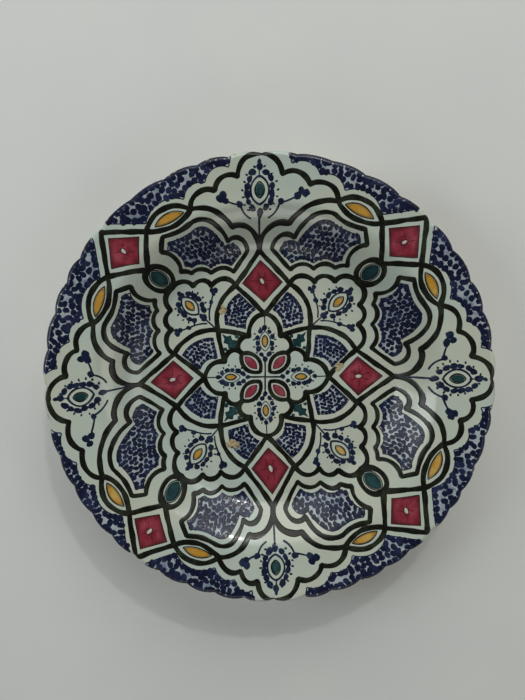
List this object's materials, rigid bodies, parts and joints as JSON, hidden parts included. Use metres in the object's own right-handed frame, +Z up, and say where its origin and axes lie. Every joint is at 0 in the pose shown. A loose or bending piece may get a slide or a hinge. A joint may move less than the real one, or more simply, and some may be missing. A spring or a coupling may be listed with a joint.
{
  "type": "scalloped serving plate",
  "caption": "Large deep ceramic serving plate with a scalloped rim and foot ring, hand-painted with interlaced strapwork, blue dabbed fields and red diamonds.",
  "frame": {"origin": "centre of the foot ring's resting plane, on the plate's axis", "axes": "+Z up out of the painted face, plate lying on its foot ring; +Y towards the top of the pattern as the plate stands on show; +X to the viewer's right"},
  "size_m": [0.3993, 0.3996, 0.0576],
  "materials": {
    "clay": "matt fired red clay",
    "white_glaze": "glossy off-white tin glaze",
    "back_glaze": "thin satin glaze with clay showing through",
    "strap_black": "glossy brown-black enamel",
    "cobalt": "glossy cobalt dabs over a pale wash",
    "crimson": "glossy crimson enamel, brushed",
    "ochre": "glossy ochre yellow enamel",
    "green": "glossy blue-green enamel",
    "flower_blue": "glossy cobalt brush strokes"
  },
  "bodies": {
    "root": {"clay_body": "clay", "foot_ring": "clay", "face_glaze": "white_glaze", "back_glaze": "back_glaze", "strap_lines": "strap_black", "cobalt_rim_field": "cobalt", "cobalt_clouds": "cobalt", "cobalt_fans": "cobalt", "middle_lozenges": "crimson", "corner_lozenges": "crimson", "red_petals": "crimson", "yellow_leaves": "ochre", "green_leaves": "green", "green_stars": "green", "axis_flowers": "flower_blue", "corner_flowers": "flower_blue", "petal_flowers": "flower_blue"}
  },
  "joints": []
}
